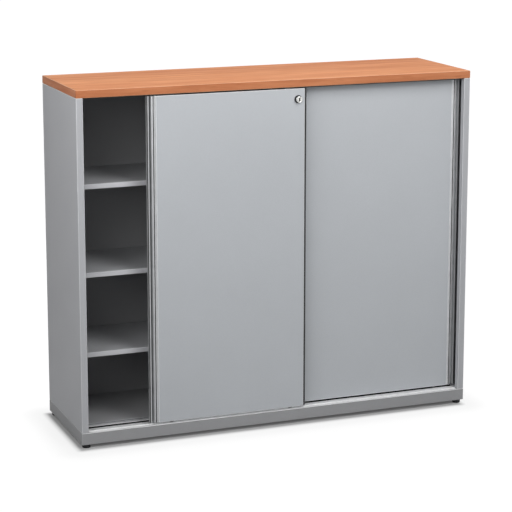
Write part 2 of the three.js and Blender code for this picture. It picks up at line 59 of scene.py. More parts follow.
scene.view_settings.view_transform = "Standard"


# Camera
# It stands at eye height in front of the cabinet and to its left, with a long lens, as the photograph
# was taken. A small shift of the lens keeps the cabinet's upright edges nearly parallel.
PHOTO_WIDTH = 512
FOCAL_PIXELS = 1853.9
SHIFT_PIXELS = -50
CAMERA_PLACE = (-1.9568, -4.9852, 1.6935)
CAMERA_AZIMUTH = math.radians(-21.34)
CAMERA_ELEVATION = math.radians(11.311)

camera_data = bpy.data.cameras.new("camera")
camera_data.lens = camera_data.sensor_width * FOCAL_PIXELS / PHOTO_WIDTH
camera_data.shift_y = SHIFT_PIXELS / PHOTO_WIDTH
camera = bpy.data.objects.new("camera", camera_data)
camera.location = CAMERA_PLACE
towards_camera = Vector((
    math.sin(CAMERA_AZIMUTH) * math.cos(CAMERA_ELEVATION),
    -math.cos(CAMERA_AZIMUTH) * math.cos(CAMERA_ELEVATION),
    math.sin(CAMERA_ELEVATION),
))
camera.rotation_euler = (-towards_camera).to_track_quat("-Z", "Y").to_euler()
scene.collection.objects.link(camera)
scene.camera = camera


# Studio floor, surround and lamps
# A pale sweep that the lens sees as white but for the shadow along the cabinet's foot. Three soft lamps
# stand before the doors, two at the left, and one each at the right, behind and above. A faint even
# surround fills the rest.
def feed(tree, socket, value):
    """Links an input to another node's output, or sets its value."""
    if isinstance(value, bpy.types.NodeSocket):
        tree.links.new(value, socket)
    else:
        socket.default_value = value


def feed_all(tree, node, **values):
    """Links or sets a node's inputs by name."""
    for name, value in values.items():
        feed(tree, node.inputs[name.replace("_", " ")], value)


def put(tree, kind, **values):
    """A new shader node, with its inputs linked or set by name."""
    made = tree.nodes.new("ShaderNode" + kind)
    feed_all(tree, made, **values)
    return made


def put_math(tree, operation, first, second=0.0):
    made = put(tree, "Math")
    made.operation = operation
    feed(tree, made.inputs[0], first)
    feed(tree, made.inputs[1], second)
    return made.outputs[0]


def put_vector(tree, operation, first, second=None):
    made = put(tree, "VectorMath")
    made.operation = operation
    feed(tree, made.inputs[0], first)
    if second is not None:
        feed(tree, made.inputs[1], second)
    return made.outputs["Value" if operation == "LENGTH" else "Vector"]


def seen_by_lens(tree):
    """A mask of the rays that show the backdrop itself, straight or in a shine."""
    path = put(tree, "LightPath")
    straight_or_shine = put_math(
        tree, "MAXIMUM", path.outputs["Is Camera Ray"], path.outputs["Is Glossy Ray"])
    return put_math(tree, "MAXIMUM", straight_or_shine, path.outputs["Is Transmission Ray"])


FLOOR_SIZE = 30.0
FLOOR_PALE = 0.52
FLOOR_DULLNESS = 0.9
FLOOR_SHINE = 0.1
SURROUND_LIGHT = 0.04
WHITE = (1, 1, 1, 1)

floor_mesh = bpy.data.meshes.new("studio_floor")
reach = FLOOR_SIZE / 2
floor_corners = [(-reach, -reach, 0), (reach, -reach, 0), (reach, reach, 0), (-reach, reach, 0)]
floor_mesh.from_pydata(floor_corners, [], [(0, 1, 2, 3)])
floor = bpy.data.objects.new("studio_floor", floor_mesh)
scene.collection.objects.link(floor)
floor_paint = bpy.data.materials.new("studio_floor")
floor_paint.use_nodes = True
floor_tree = floor_paint.node_tree
floor_shader = floor_tree.nodes["Principled BSDF"]
floor_shader.inputs["Roughness"].default_value = FLOOR_DULLNESS
floor_shader.inputs["Specular IOR Level"].default_value = FLOOR_SHINE
floor_shader.inputs["Emission Color"].default_value = WHITE
floor_mesh.materials.append(floor_paint)

# The floor turns white with its distance from the cabinet's foot, steeply at first, and the lens loses
# as much of the floor's own shade as it gains of white. The light comes a little from the right, so the
# shadow lies a little to the left.
SHADOW_REACH = 0.12
SHADOW_FADE = ((0.0, 0.07), (0.083, 0.56), (0.167, 0.85), (0.333, 0.87), (0.667, 0.96), (1.0, 1.0))
SHADOW_LEFT = 0.003
SHADOW_RIGHT = -0.016
foot_middle = (cad_low + cad_high) / 2 + Vector(((SHADOW_RIGHT - SHADOW_LEFT) / 2, 0, 0))
foot_half = (cad_high - cad_low) / 2 + Vector(((SHADOW_RIGHT + SHADOW_LEFT) / 2, 0, 0))
floor_place = put(floor_tree, "TexCoord").outputs["Object"]
from_middle = put_vector(floor_tree, "SUBTRACT", floor_place, foot_middle)
either_side = put_vector(floor_tree, "ABSOLUTE", from_middle)
outside = put_vector(floor_tree, "SUBTRACT", either_side, foot_half)
clear_of_foot = put_vector(floor_tree, "MAXIMUM", outside, (0, 0, 0))
distance = put_vector(floor_tree, "LENGTH", clear_of_foot)
fade = put(floor_tree, "ValToRGB", Fac=put_math(floor_tree, "DIVIDE", distance, SHADOW_REACH))
stops = fade.color_ramp.elements
for place, level in SHADOW_FADE[1:-1]:
    stops.new(place)
for stop, (place, level) in zip(stops, SHADOW_FADE):
    stop.position = place
    stop.color = (level, level, level, 1)
whitening = put_math(floor_tree, "MULTIPLY", seen_by_lens(floor_tree), fade.outputs["Color"])
unwhitened = put_math(floor_tree, "SUBTRACT", 1.0, whitening)
own_shade = put_math(floor_tree, "MULTIPLY", unwhitened, FLOOR_PALE)
feed_all(floor_tree, floor_shader, Base_Color=own_shade, Emission_Strength=whitening)

world = bpy.data.worlds.new("studio")
scene.world = world
world.use_nodes = True
world_tree = world.node_tree
brighter_for_lens = put_math(world_tree, "MULTIPLY", seen_by_lens(world_tree), 1 - SURROUND_LIGHT)
surround_strength = put_math(world_tree, "ADD", brighter_for_lens, SURROUND_LIGHT)
feed_all(world_tree, world_tree.nodes["Background"], Color=WHITE, Strength=surround_strength)


def soft_lamp(name, place, aim, size, power):
    """A square lamp with sides of one size, turned from its place towards a point."""
    data = bpy.data.lights.new(name, "AREA")
    data.shape = "SQUARE"
    data.size = size
    data.energy = power
    lamp = bpy.data.objects.new(name, data)
    lamp.location = place
    lamp.rotation_euler = (Vector(aim) - Vector(place)).to_track_quat("-Z", "Y").to_euler()
    scene.collection.objects.link(lamp)


soft_lamp("front_left_lamp", place=(-1.55, -2.0, 1.75), aim=(-0.1, 0.0, 0.65), size=1.5, power=15.5)
soft_lamp("front_right_lamp", place=(1.0, -2.2, 1.6), aim=(0.1, 0.0, 0.6), size=1.5, power=12.5)
soft_lamp("high_front_lamp", place=(0.3, -1.4, 2.0), aim=(0.1, 0.0, 0.9), size=1.0, power=15.5)
soft_lamp("low_left_lamp", place=(-2.6, -1.8, 1.2), aim=(-0.3, 0.0, 0.6), size=1.2, power=5)
soft_lamp("left_lamp", place=(-1.5, -0.6, 1.55), aim=(-0.6, 0.0, 0.8), size=0.8, power=6.2)
soft_lamp("right_lamp", place=(3.0, 0.6, 1.8), aim=(0.6, 0.0, 0.6), size=1.4, power=22)
soft_lamp("back_lamp", place=(0.4, 2.6, 0.55), aim=(0.0, 0.0, 0.6), size=0.9, power=24)
soft_lamp("top_lamp", place=(0.2, 0.4, 3.2), aim=(0.0, 0.0, 1.0), size=1.8, power=17)


# Worktop board
# A chipboard slab, 22 mm thick, faced above and below with a beech-coloured laminate whose grain runs
# along the cabinet. It is routed from below for the guide channel and screwed down from inside.

# Faces that turn by less than FLAT are one flat face, and points closer than WELD are one point. A
# rounded piece keeps its flat faces, its roundings and its curved faces in three slots while it is made.
FLAT = math.radians(0.3)
WELD = 0.00001
UNDER_SKIN = 0.00005
FACES, ROUNDINGS, CURVES = range(3)


def middle_of(edge):
    return (edge.verts[0].co + edge.verts[1].co) / 2


def local_room(edge, solid):
    """How much material lies beside an edge, measured across both of its faces just under their skin."""
    middle = middle_of(edge)
    along = (edge.verts[1].co - edge.verts[0].co).normalized()
    rooms = []
    for face in edge.link_faces:
        inward = face.normal.cross(along)
        if (face.calc_center_median_weighted() - middle).dot(inward) < 0:
            inward.negate()
        start = middle + inward * UNDER_SKIN - face.normal * UNDER_SKIN
        far = solid.ray_cast(start, inward)[3]
        rooms.append(UNDER_SKIN if far is None else far)
    return min(rooms)


def one_outline(region):
    """Whether a flat region has a single outline, with no hole in it and no point touched twice."""
    inside = set(region)
    rim = [edge for face in region for edge in face.edges
           if sum(other in inside for other in edge.link_faces) == 1]
    ends = {}
    for edge in rim:
        for vertex in edge.verts:
            ends.setdefault(vertex, []).append(edge)
    if any(len(edges) != 2 for edges in ends.values()):
        return False
    walked = {rim[0]}
    waiting = [rim[0]]
    while waiting:
        for vertex in waiting.pop().verts:
            for edge in ends[vertex]:
                if edge not in walked:
                    walked.add(edge)
                    waiting.append(edge)
    return len(walked) == len(rim)


def whole_faces(shape):
    """Joins the triangles of each flat region to one face. A region with a hole keeps its triangles."""
    seen = set()
    inner_edges = []
    kept = set()
    for first in shape.faces:
        if first in seen:
            continue
        seen.add(first)
        region = [first]
        joined = set()
        for face in region:
            for edge in face.edges:
                if len(edge.link_faces) != 2 or edge.calc_face_angle() > FLAT:
                    continue
                joined.add(edge)
                for other in edge.link_faces:
                    if other not in seen:
                        seen.add(other)
                        region.append(other)
        if one_outline(region):
            inner_edges.extend(joined)
        else:
            kept.update(vertex for face in region for vertex in face.verts)
    loose = [vertex for vertex in shape.verts if vertex not in kept]
    bmesh.ops.dissolve_limit(shape, angle_limit=FLAT, verts=loose, edges=inner_edges)


def weigh_edges(shape, radius, share, least_turn, open_at):
    """Sets how much of the radius each outer edge gets: all of it, or less where the wall is thin."""
    solid = BVHTree.FromBMesh(shape)
    weight = shape.edges.layers.float.new("bevel_weight_edge")
    for edge in shape.edges:
        if len(edge.link_faces) != 2 or not edge.is_convex or edge.calc_face_angle() <= least_turn:
            continue
        if open_at is None or open_at(middle_of(edge)):
            edge[weight] = min(1.0, local_room(edge, solid) * share / radius)


def mark_curves(shape, least_turn):
    """Marks the faces that belong to a curve, which stay smooth while the flat ones don't."""
    for face in shape.faces:
        turns = [edge.calc_face_angle() for edge in face.edges if len(edge.link_faces) == 2]
        curved = any(FLAT < turn <= least_turn for turn in turns)
        face.smooth = True
        face.material_index = CURVES if curved else FACES


def softened(node, body, radius, finish, arris, segments=3, share=0.35, corner=20, open_at=None):
    """A piece in the shape of a CAD solid, with its faces made whole and its outer edges rounded.

    The faces get the finish and the roundings get the arris. An edge counts as a corner when it turns by
    more than the given degrees, and its rounding takes no more than the given share of the wall. open_at
    is a test on an edge's middle that spares the edges pressed against another piece.
    """
    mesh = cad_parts[node].data.copy()
    mesh.name = node + "_rounded"
    mesh.materials.clear()
    for material in (finish, arris, finish):
        mesh.materials.append(material)
    shape = bmesh.new()
    shape.from_mesh(mesh)
    bmesh.ops.remove_doubles(shape, verts=shape.verts, dist=WELD)
    whole_faces(shape)
    shape.normal_update()
    weigh_edges(shape, radius, share, math.radians(corner), open_at)
    mark_curves(shape, math.radians(corner))
    shape.to_mesh(mesh)
    shape.free()
    piece = bpy.data.objects.new(node + "_rounded", mesh)
    scene.collection.objects.link(piece)
    bevel = piece.modifiers.new("rounding", "BEVEL")
    bevel.width = radius
    bevel.segments = segments
    bevel.limit_method = "WEIGHT"
    bevel.use_clamp_overlap = False
    bevel.harden_normals = True
    bevel.material = ROUNDINGS
    settled = bpy.context.evaluated_depsgraph_get()
    finished = bpy.data.meshes.new_from_object(piece.evaluated_get(settled))
    piece.modifiers.clear()
    piece.data = finished
    for face in finished.polygons:
        face.use_smooth = face.material_index != FACES
        if face.material_index == CURVES:
            face.material_index = FACES
    finished.materials.pop(index=CURVES)
    # Where a wide and a narrow rounding meet, the corner is held inside the solid's own box.
    low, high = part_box(node)
    for vertex in finished.vertices:
        vertex.co = [min(max(place, least), most) for place, least, most in zip(vertex.co, low, high)]
    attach(piece, body)
    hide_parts(node)
    return piece


def node_group(name, inputs):
    """An empty shader group that puts out a colour, a roughness and a height, and its two end nodes."""
    tree = bpy.data.node_groups.new(name, "ShaderNodeTree")
    for kind, label, value in inputs:
        socket = tree.interface.new_socket(label, in_out="INPUT", socket_type="NodeSocket" + kind)
        socket.default_value = value
    for kind, label in (("Color", "Color"), ("Float", "Roughness"), ("Float", "Height")):
        tree.interface.new_socket(label, in_out="OUTPUT", socket_type="NodeSocket" + kind)
    return tree, tree.nodes.new("NodeGroupInput"), tree.nodes.new("NodeGroupOutput")


def put_mix(tree, factor, first, second, blend="MIX"):
    made = put(tree, "Mix")
    made.data_type = "RGBA"
    made.blend_type = blend
    values = {"Factor_Float": factor, "A_Color": first, "B_Color": second}
    for socket in made.inputs:
        if socket.identifier in values:
            feed(tree, socket, values[socket.identifier])
    return next(socket for socket in made.outputs if socket.identifier == "Result_Color")


def put_noise(tree, place, scale, detail, roughness=0.5, distortion=0.0):
    made = put(
        tree, "TexNoise", Vector=place, Scale=scale, Detail=detail, Roughness=roughness,
        Distortion=distortion)
    return made.outputs["Fac"]


def put_range(tree, value, span, spread):
    """Spreads the part of a noise inside the span over another range."""
    made = put(
        tree, "MapRange", Value=value, From_Min=span[0], From_Max=span[1], To_Min=spread[0],
        To_Max=spread[1])
    return made.outputs["Result"]


NOISE_SPAN = (0.3, 0.7)
GRAIN_SPAN = (0.36, 0.64)
PORE_SPAN = (0.6, 0.74)
BROAD_DEPTHS = (0.0, 0.45)
STREAK_DEPTHS = (0.0, 0.55)
PORE_DEPTHS = (0.0, 0.3)
STREAK_DULLNESS = (0.42, 0.54)
PORE_TINT = (0.62, 0.56, 0.5, 1)
STREAK_RELIEF = 0.4


def make_grain_group():
    """Printed beech grain: broad tones, finer streaks and short dark pores, all drawn out lengthwise."""
    tree, entry, leave = node_group("beech_grain", [
        ("Color", "Pale", (0.8, 0.5, 0.3, 1)),
        ("Color", "Dark", (0.6, 0.35, 0.2, 1)),
        ("Vector", "Stretch", (1, 1, 1)),
    ])
    place = put(tree, "TexCoord").outputs["Object"]
    along = put_vector(tree, "MULTIPLY", place, entry.outputs["Stretch"])
    tones = put_noise(tree, along, scale=9.0, detail=3.0, distortion=0.6)
    streaks = put_noise(tree, along, scale=46.0, detail=5.0, roughness=0.62, distortion=0.2)
    pores = put_noise(tree, along, scale=210.0, detail=2.0)
    broad = put_range(tree, tones, GRAIN_SPAN, BROAD_DEPTHS)
    fine = put_range(tree, streaks, GRAIN_SPAN, STREAK_DEPTHS)
    depth = put_math(tree, "ADD", broad, fine)
    wood = put_mix(tree, depth, entry.outputs["Pale"], entry.outputs["Dark"])
    pore_mask = put_range(tree, pores, PORE_SPAN, PORE_DEPTHS)
    pore_shade = put_mix(tree, 1.0, entry.outputs["Dark"], PORE_TINT, "MULTIPLY")
    sunk = put_math(tree, "MULTIPLY", pore_mask, -1.0)
    raised = put_math(tree, "MULTIPLY", fine, STREAK_RELIEF)
    feed_all(
        tree, leave,
        Color=put_mix(tree, pore_mask, wood, pore_shade),
        Roughness=put_range(tree, streaks, NOISE_SPAN, STREAK_DULLNESS),
        Height=put_math(tree, "ADD", sunk, raised),
    )
    return tree


grain_group = make_grain_group()


def finish_from(name, group, relief, plain=None, **values):
    """A material that takes its colour, roughness and bumps from one of the groups.

    relief is how high the bumps are, and plain gives the values that the shader's own sockets hold.
    """
    made = bpy.data.materials.new(name)
    made.use_nodes = True
    tree = made.node_tree
    shader = tree.nodes["Principled BSDF"]
    pattern = put(tree, "Group")
    pattern.node_tree = group
    feed_all(tree, pattern, **values)
    bumps = put(tree, "Bump", Distance=relief, Height=pattern.outputs["Height"])
    feed_all(
        tree, shader,
        Base_Color=pattern.outputs["Color"],
        Roughness=pattern.outputs["Roughness"],
        Normal=bumps.outputs["Normal"],
    )
    for label, value in (plain or {}).items():
        shader.inputs[label].default_value = value
    return made


BEECH_PALE = (0.90, 0.385, 0.168, 1)
BEECH_DARK = (0.69, 0.238, 0.093, 1)
MATT = {"Specular IOR Level": 0.04}
LENGTHWISE = (0.09, 1.0, 1.0)
LAMINATE_RELIEF = 0.00012
BOARD_RADIUS = 0.0003
beech_laminate = finish_from(
    "beech_laminate", grain_group, LAMINATE_RELIEF, MATT, Pale=BEECH_PALE, Dark=BEECH_DARK,
    Stretch=LENGTHWISE)
softened(
    "worktop_board", "cabinet", BOARD_RADIUS, beech_laminate, beech_laminate,
    segments=1)


# Worktop edge bands
# Two millimetre strips glued round the board and routed flush, then rounded along their open edges. The
# same grain is printed on them, a little redder, and darker than on the top as painted shade, and runs
# along each strip. The roundings and the strip's top get a paler copy of the grain as painted highlight,
# told from the upright faces by how far their normals lean.
BAND_RADIUS = 0.0016
BAND_SHARE = 0.8
BAND_RELIEF = 0.0001
BAND_PALE = (0.64, 0.262, 0.127, 1)
BAND_DARK = (0.445, 0.149, 0.065, 1)
BAND_HIGHLIGHT_PALE = (0.95, 0.60, 0.40, 1)
BAND_HIGHLIGHT_DARK = (0.84, 0.46, 0.28, 1)
CROSSWISE = (1.0, 0.09, 1.0)
BAND_STRETCHES = {"front": LENGTHWISE, "back": LENGTHWISE, "left": CROSSWISE, "right": CROSSWISE}
OUTLINE_REACH = 0.0002
LEAN = 0.3
band_boxes = [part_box("worktop_edge_" + side) for side in BAND_STRETCHES]
banded_low = [min(box[0][axis] for box in band_boxes) for axis in range(3)]
banded_high = [max(box[1][axis] for box in band_boxes) for axis in range(3)]


def on_outline(middle):
    """Whether an edge lies on two of the banded worktop's outer faces."""
    touched = 0
    for place, least, most in zip(middle, banded_low, banded_high):
        if min(abs(place - least), abs(place - most)) < OUTLINE_REACH:
            touched += 1
    return touched > 1


def repaint(piece, finish, chosen):
    """Gives a finish to the faces of a piece that a test on middle and normal picks out."""
    materials = piece.data.materials
    if materials.find(finish.name) < 0:
        materials.append(finish)
    number = materials.find(finish.name)
    for face in piece.data.polygons:
        if chosen(face.center, face.normal):
            face.material_index = number


for side, stretch in BAND_STRETCHES.items():
    band = finish_from(
        "beech_band_" + side, grain_group, BAND_RELIEF, MATT, Pale=BAND_PALE, Dark=BAND_DARK,
        Stretch=stretch)
    band_top_highlight = finish_from(
        "beech_band_highlight_" + side, grain_group, BAND_RELIEF, MATT, Pale=BAND_HIGHLIGHT_PALE, Dark=BAND_HIGHLIGHT_DARK,
        Stretch=stretch)
    strip = softened(
        "worktop_edge_" + side, "cabinet", BAND_RADIUS, band, band_top_highlight,
        share=BAND_SHARE, open_at=on_outline)
    # Faces that look up get the paler copy of the grain, a painted highlight; upright faces keep the
    # plain grain.
    repaint(strip, band, lambda middle, normal: abs(normal.z) < LEAN)
    repaint(strip, band_top_highlight, lambda middle, normal: normal.z > LEAN)


# Side panels
# Sheet steel 1.2 mm thick, folded round the front, top, bottom and rear, with a return behind the
# front flange. Powder coated silver grey after folding, so every bend is rounded under the paint.
def put_shade(tree, colour, level):
    """A colour made lighter or darker by a level that changes over the surface."""
    made = put(tree, "VectorMath")
    made.operation = "SCALE"
    feed(tree, made.inputs[0], colour)
    feed(tree, made.inputs["Scale"], level)
    return made.outputs["Vector"]


COAT_TONES = (-0.02, 0.02)
COAT_PATCH_TONES = (-0.008, 0.008)
COAT_PATCH_DULLNESS = (-0.05, 0.05)
FLAKE_TONES = (-1.0, 1.0)
COAT_WAVES = 12.0
COAT_RELIEF = 0.00006
LOW_SHEEN = {"Specular IOR Level": 0.06}


def make_coat_group():
    """Powder coat: a fine orange peel, faint flakes, broad unevenness and slightly dull patches."""
    tree, entry, leave = node_group("powder_coat", [
        ("Color", "Tint", (0.5, 0.5, 0.5, 1)),
        ("Float", "Dullness", 0.42),
        ("Float", "Flake", 0.04),
        ("Float", "Wave", 0.5),
    ])
    place = put(tree, "TexCoord").outputs["Object"]
    broad = put_noise(tree, place, scale=1.7, detail=2.0)
    patches = put_noise(tree, place, scale=11.0, detail=4.0, roughness=0.6)
    peel = put_noise(tree, place, scale=420.0, detail=2.0)
    flakes = put_noise(tree, place, scale=1500.0, detail=1.0)
    broad_tone = put_range(tree, broad, NOISE_SPAN, COAT_TONES)
    patch_tone = put_range(tree, patches, NOISE_SPAN, COAT_PATCH_TONES)
    uneven = put_math(tree, "ADD", broad_tone, patch_tone)
    bright_or_dim = put_range(tree, flakes, NOISE_SPAN, FLAKE_TONES)
    spark = put_math(tree, "MULTIPLY", bright_or_dim, entry.outputs["Flake"])
    level = put_math(tree, "ADD", put_math(tree, "ADD", uneven, spark), 1.0)
    dull_patches = put_range(tree, patches, NOISE_SPAN, COAT_PATCH_DULLNESS)
    swell = put_math(tree, "MULTIPLY", broad, COAT_WAVES)
    waves = put_math(tree, "MULTIPLY", swell, entry.outputs["Wave"])
    feed_all(
        tree, leave,
        Color=put_shade(tree, entry.outputs["Tint"], level),
        Roughness=put_math(tree, "ADD", entry.outputs["Dullness"], dull_patches),
        Height=put_math(tree, "ADD", peel, waves),
    )
    return tree


coat_group = make_coat_group()


def powder_coat(name, tint, dullness, flake=0.05, wave=0.3, sheen=LOW_SHEEN):
    """A coat of one tint. Its wave is 0 on bends, which are too narrow to show one."""
    return finish_from(
        name, coat_group, COAT_RELIEF, sheen, Tint=tint, Dullness=dullness, Flake=flake, Wave=wave)


SIDE_BEND_RADIUS = 0.0022
# The bends get a paler copy of the coat, as painted highlight, here and on the shelves.
SILVER_GREY = (0.485, 0.492, 0.515, 1)
SILVER_BEND_HIGHLIGHT = (0.64, 0.65, 0.67, 1)
silver_coat = powder_coat("silver_coat", SILVER_GREY, dullness=0.42)
silver_bend_highlight = powder_coat("silver_coat_bend_highlight", SILVER_BEND_HIGHLIGHT, dullness=0.36, wave=0.0)

# The walls' inner faces get a darker copy of the coat, as painted shade. A face looks squarely one way
# when nearly all of its normal points there.
WALL_SHADE_GREY = (0.33, 0.333, 0.345, 1)
WALL_SHEET = 0.0014
SQUARELY = 0.9
wall_inside_shade = powder_coat("wall_inside_shade", WALL_SHADE_GREY, dullness=0.46)
for side in ("left", "right"):
    panel = softened(
        side + "_side_panel", "cabinet", SIDE_BEND_RADIUS, silver_coat, silver_bend_highlight)
    wall_outside = max(abs(corner.x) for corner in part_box(side + "_side_panel"))

    def on_wall_inside(middle, normal):
        looks_inwards = normal.x * middle.x < 0 and abs(normal.x) > SQUARELY
        return looks_inwards and abs(middle.x) > wall_outside - WALL_SHEET

    repaint(panel, wall_inside_shade, on_wall_inside)


# Base frame
# A welded ring of folded steel that the panels stand on. Its front ends in a raised lip, and behind
# the lip it drops to a trough for the rails. Coated a shade darker than the sides.
BASE_BEND_RADIUS = 0.0013
BASE_GREY = (0.366, 0.368, 0.378, 1)
# The bends get a paler copy of the coat, as painted highlight, here and on the inner panels.
BASE_BEND_HIGHLIGHT = (0.48, 0.485, 0.495, 1)
base_coat = powder_coat("base_coat", BASE_GREY, dullness=0.46)
base_bend_highlight = powder_coat("base_coat_bend_highlight", BASE_BEND_HIGHLIGHT, dullness=0.42, wave=0.0)
base = softened(
    "base_frame", "cabinet", BASE_BEND_RADIUS, base_coat, base_bend_highlight, corner=30)

# The lip's upper edge is painted much paler, as painted highlight, and the step behind the trough shows
# the sides' lighter coat. A face counts as facing forward when most of its normal does.
LIP_HIGHLIGHT_GREY = (0.86, 0.865, 0.875, 1)
LIP_DEPTH = 0.0035
LIP_EDGE = 0.0016
STEP_HEIGHT = 0.01
STEP_REACH = 0.001
FACING = 0.7
lip_highlight = powder_coat("lip_highlight", LIP_HIGHLIGHT_GREY, dullness=0.38, flake=0.03, wave=0.0)
base_low, base_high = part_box("base_frame")
floor_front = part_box("floor_panel")[0].y


def on_lip(middle, normal):
    return middle.y < base_low.y + LIP_DEPTH and middle.z > base_high.z - LIP_EDGE


def on_step(middle, normal):
    """Whether a face looks forward in line with the floor panel's front."""
    return normal.y < -FACING and abs(middle.y - floor_front) < STEP_REACH


repaint(base, lip_highlight, on_lip)
repaint(base, silver_coat, lambda middle, normal: (
    on_step(middle, normal) and middle.z > base_high.z - STEP_HEIGHT))


# Floor, back and top panels
# Folded sheets between the side panels, coated inside and out. The photograph shows them only deep
# inside, where they look darker than the sides, so they have the base's darker coat. Only the floor's
# front fold has the sides' coat, like the step below it.
# On them the base's darker coat is painted shade.
SHEET_BEND_RADIUS = 0.0015
floor_sheet = softened(
    "floor_panel", "cabinet", SHEET_BEND_RADIUS, base_coat, base_bend_highlight)
repaint(floor_sheet, silver_coat, on_step)
for node in ("back_panel", "top_panel"):
    softened(node, "cabinet", SHEET_BEND_RADIUS, base_coat, base_bend_highlight)


# Shelves
# Three loose steel trays, turned over, with their edges folded down 14 mm. They rest on the clips and
# can be moved from slot to slot. Their tops get a darker copy of the coat than the folds, as painted
# shade.
SHELF_BEND_RADIUS = 0.0015
SHELF_GREY = (0.60, 0.606, 0.63, 1)
SHELF_TOP_SHADE_GREY = (0.43, 0.436, 0.45, 1)
LEVEL = 0.95
shelf_coat = powder_coat("shelf_coat", SHELF_GREY, dullness=0.42)
shelf_top_shade = powder_coat("shelf_top_shade", SHELF_TOP_SHADE_GREY, dullness=0.48)
for height in ("lower", "middle", "upper"):
    tray = softened(
        "shelf_" + height, "cabinet", SHELF_BEND_RADIUS, shelf_coat, silver_bend_highlight)
    repaint(tray, shelf_top_shade, lambda middle, normal: normal.z > LEVEL)


# Slotted uprights and shelf clips
# Zinc-plated channels riveted to the side panels, punched with slots every 21 mm, and pressed clips
# that hook into them.
CLOUD_TONES = (0.9, 1.06)
CLOUD_DULLNESS = (-0.06, 0.08)
LINE_TONES = (-0.04, 0.04)
LINE_DULLNESS = (-0.05, 0.05)


def make_zinc_group():
    """Zinc plating: cloudy crystals and fine drawn lines, duller where it has been handled."""
    tree, entry, leave = node_group("zinc_plate", [
        ("Color", "Tint", (0.5, 0.5, 0.5, 1)),
        ("Float", "Dullness", 0.4),
        ("Vector", "Drawn", (1, 1, 1)),
    ])
    place = put(tree, "TexCoord").outputs["Object"]
    drawn = put_vector(tree, "MULTIPLY", place, entry.outputs["Drawn"])
    clouds = put_noise(tree, place, scale=45.0, detail=4.0, roughness=0.6)
    lines = put_noise(tree, drawn, scale=900.0, detail=2.0)
    cloud_tone = put_range(tree, clouds, NOISE_SPAN, CLOUD_TONES)
    line_tone = put_range(tree, lines, NOISE_SPAN, LINE_TONES)
    level = put_math(tree, "ADD", cloud_tone, line_tone)
    dull_clouds = put_range(tree, clouds, NOISE_SPAN, CLOUD_DULLNESS)
    dull_lines = put_range(tree, lines, NOISE_SPAN, LINE_DULLNESS)
    duller = put_math(tree, "ADD", dull_clouds, dull_lines)
    feed_all(
        tree, leave,
        Color=put_shade(tree, entry.outputs["Tint"], level),
        Roughness=put_math(tree, "ADD", entry.outputs["Dullness"], duller),
        Height=lines,
    )
    return tree


zinc_group = make_zinc_group()
METAL = {"Metallic": 1.0}
ALONG_Z = (1.0, 1.0, 0.05)


def drawn_metal(name, tint, dullness, relief, drawn=ALONG_Z, plain=METAL):
    """A plated, anodised or chromed metal, with its fine lines drawn out one way."""
    return finish_from(name, zinc_group, relief, plain, Tint=tint, Dullness=dullness, Drawn=drawn)


ZINC_GREY = (0.50, 0.51, 0.52, 1)
ZINC_RELIEF = 0.00002
UPRIGHT_BEND_RADIUS = 0.0012
CLIP_BEND_RADIUS = 0.0006
zinc_strip = drawn_metal("zinc_strip", ZINC_GREY, dullness=0.42, relief=ZINC_RELIEF)
for row in ("front", "rear"):
    for side in ("left", "right"):
        softened(
            f"upright_{row}_{side}", "cabinet", UPRIGHT_BEND_RADIUS, zinc_strip, zinc_strip)
        for height in ("lower", "middle", "upper"):
            softened(
                f"clip_{height}_{row}_{side}", "cabinet", CLIP_BEND_RADIUS, zinc_strip, zinc_strip,
                segments=2)


# Bottom rail and guide channel
# The rail is one aluminium extrusion in the base's trough, with an upright rib under each door. The
# channel is black plastic, pressed into the worktop's underside, and steers the doors' tops.
RAIL_GREY = (0.86, 0.865, 0.87, 1)
RAIL_SHEEN = {"Metallic": 0.15}
RAIL_RELIEF = 0.000006
RAIL_RADIUS = 0.0006
ALONG_X = (0.05, 1.0, 1.0)
rail_metal = drawn_metal(
    "rail_metal", RAIL_GREY, dullness=0.45, relief=RAIL_RELIEF, drawn=ALONG_X, plain=RAIL_SHEEN)
rail = softened("bottom_rail", "cabinet", RAIL_RADIUS, rail_metal, rail_metal)

FLOW_TONES = (0.85, 1.15)
FLOW_DULLNESS = (-0.07, 0.07)


def make_plastic_group():
    """Moulded plastic: a fine spark-eroded skin and faint flow marks."""
    tree, entry, leave = node_group("moulded_plastic", [
        ("Color", "Tint", (0.02, 0.02, 0.02, 1)),
        ("Float", "Dullness", 0.5),
    ])
    place = put(tree, "TexCoord").outputs["Object"]
    skin = put_noise(tree, place, scale=1100.0, detail=2.0, roughness=0.6)
    flow = put_noise(tree, place, scale=60.0, detail=3.0)
    level = put_range(tree, flow, NOISE_SPAN, FLOW_TONES)
    dull_marks = put_range(tree, flow, NOISE_SPAN, FLOW_DULLNESS)
    feed_all(
        tree, leave,
        Color=put_shade(tree, entry.outputs["Tint"], level),
        Roughness=put_math(tree, "ADD", entry.outputs["Dullness"], dull_marks),
        Height=skin,
    )
    return tree


plastic_group = make_plastic_group()
MOULDED_RELIEF = 0.00004


def moulded(name, tint, dullness, relief=MOULDED_RELIEF, plain=None):
    """A plastic, rubber or painted shade of one tint."""
    return finish_from(name, plastic_group, relief, plain, Tint=tint, Dullness=dullness)


PLASTIC_BLACK = (0.016, 0.016, 0.018, 1)
PLASTIC_SHEEN = {"Specular IOR Level": 0.2}
CHANNEL_RADIUS = 0.0006
black_plastic = moulded("black_plastic", PLASTIC_BLACK, dullness=0.5, plain=PLASTIC_SHEEN)
softened("guide_channel", "cabinet", CHANNEL_RADIUS, black_plastic, black_plastic)

